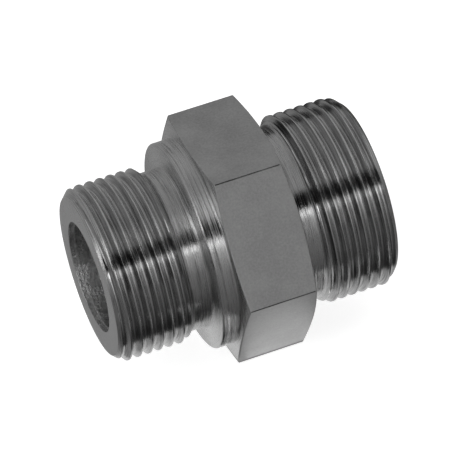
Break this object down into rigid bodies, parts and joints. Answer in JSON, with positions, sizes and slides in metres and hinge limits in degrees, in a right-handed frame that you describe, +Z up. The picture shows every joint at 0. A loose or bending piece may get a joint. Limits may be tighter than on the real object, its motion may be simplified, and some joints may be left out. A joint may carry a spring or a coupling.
{
  "type": "hydraulic fitting",
  "caption": "Straight male stud coupling for hydraulic tube: turned steel body with a stud thread, a shoulder collar, a hexagon and a union-nut thread over a cone seat.",
  "frame": {"origin": "on the axis of the bore, in the shoulder face of the collar that seals against the port", "axes": "+X along the axis towards the tube end, +Z up with one flat of the hexagon facing down"},
  "size_m": [0.0537, 0.0474, 0.041],
  "materials": {
    "steel": "turned and milled steel, fine tool lines, no coating"
  },
  "bodies": {
    "root": {"fitting_body": "steel"}
  },
  "joints": []
}
